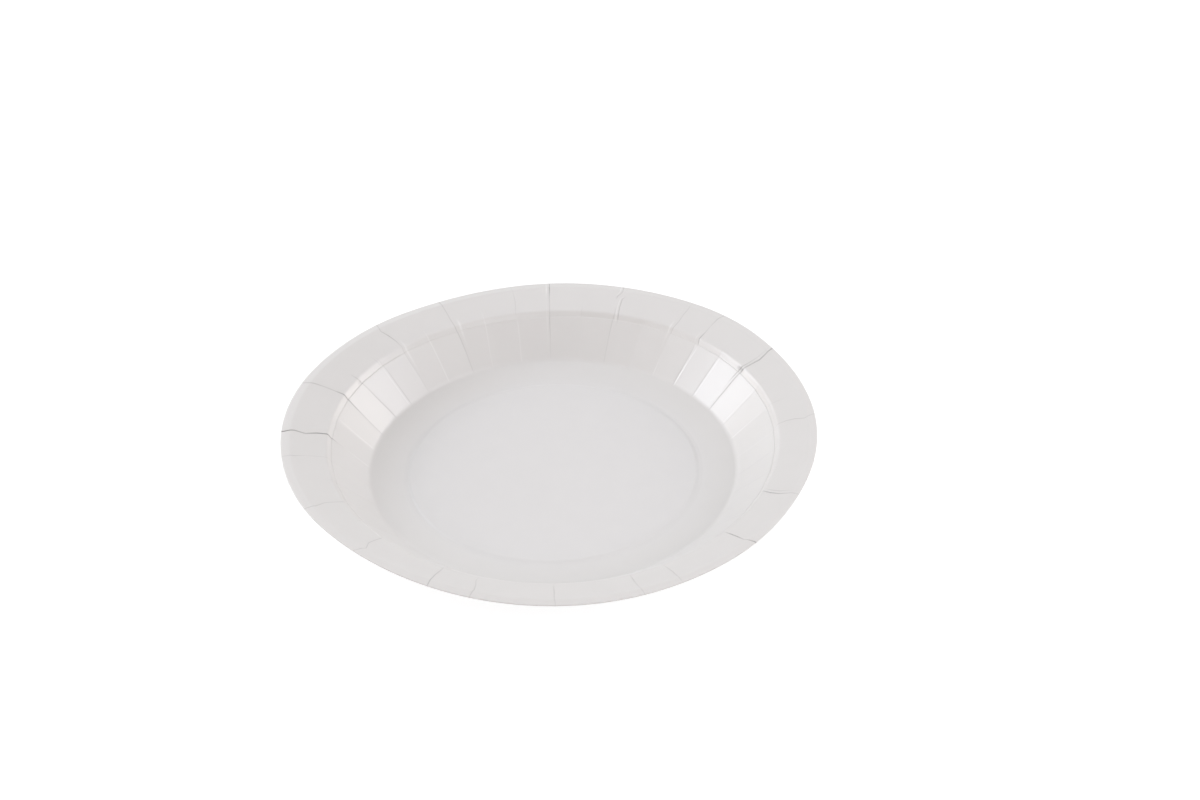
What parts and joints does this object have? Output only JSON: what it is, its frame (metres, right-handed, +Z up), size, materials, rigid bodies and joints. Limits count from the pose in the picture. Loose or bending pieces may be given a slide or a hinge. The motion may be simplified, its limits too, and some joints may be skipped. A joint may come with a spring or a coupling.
{
  "type": "paper plate",
  "caption": "Shallow round disposable plate of pressed white board, with a scored wall, a creased sloping rim and a slightly dished floor, for serving food.",
  "frame": {"origin": "middle of the plate, level with the underside of its standing ring", "axes": "+Z up out of the well, +X to the right and +Y to the back as the plate is seen in the picture"},
  "size_m": [0.23, 0.23, 0.0277],
  "materials": {
    "board": "white board with a thin smooth coating, half gloss"
  },
  "bodies": {
    "root": {"plate": "board"}
  },
  "joints": []
}
